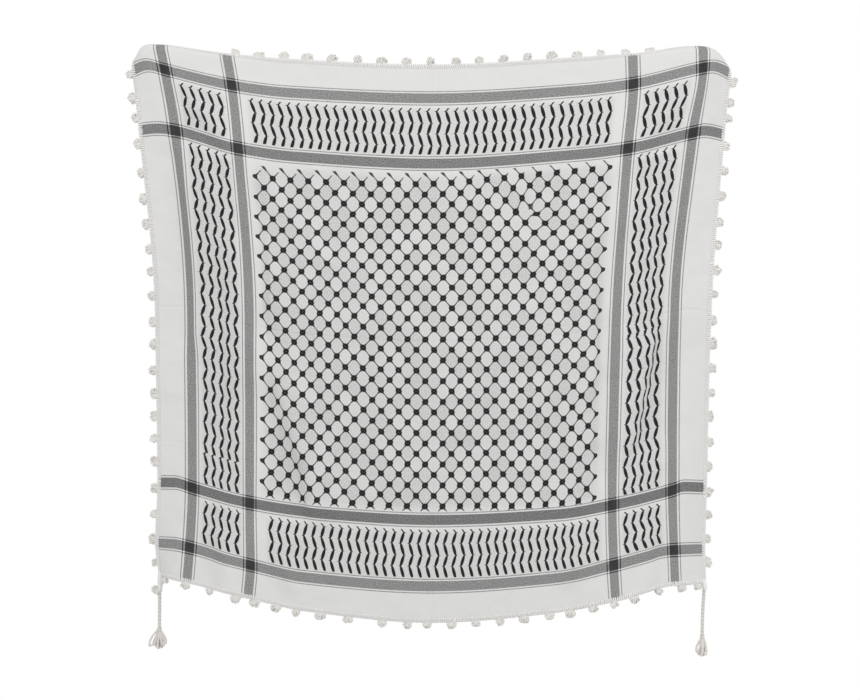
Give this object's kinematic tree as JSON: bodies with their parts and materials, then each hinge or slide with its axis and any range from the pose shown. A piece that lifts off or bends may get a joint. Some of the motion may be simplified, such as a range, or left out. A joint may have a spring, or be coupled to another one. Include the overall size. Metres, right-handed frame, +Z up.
{
  "type": "keffiyeh headscarf hung by its two upper corners",
  "caption": "Square woven cotton headscarf with barred, chevron and net bands, tufted edges and corner tassels, hanging open from its two upper corners.",
  "frame": {"origin": "midway between the two held upper corners, level with the tops of their curls", "axes": "+X to the cloth's right edge as its front is seen, +Y from its front towards its back, +Z up"},
  "size_m": [1.2134, 0.1309, 1.215],
  "materials": {
    "woven_cotton": "matt white cotton with a woven black and grey pattern",
    "edging_yarn": "matt cream crochet yarn",
    "tuft_yarn": "matt looped cotton yarn",
    "tassel_cord": "matt plied cotton cord"
  },
  "bodies": {
    "root": {"cloth": "woven_cotton", "edging_top": "edging_yarn", "edging_right": "edging_yarn", "edging_bottom": "edging_yarn", "edging_left": "edging_yarn", "bobbles_top": "tuft_yarn", "bobbles_right": "tuft_yarn", "bobbles_bottom": "tuft_yarn", "bobbles_left": "tuft_yarn", "tassel_cord_lower_left": "tassel_cord", "tassel_cord_lower_right": "tassel_cord", "tassel_cord_upper_left": "tassel_cord", "tassel_cord_upper_right": "tassel_cord", "tassel_lower_left": "tassel_cord", "tassel_lower_right": "tassel_cord", "tassel_upper_left": "tassel_cord", "tassel_upper_right": "tassel_cord"}
  },
  "joints": []
}
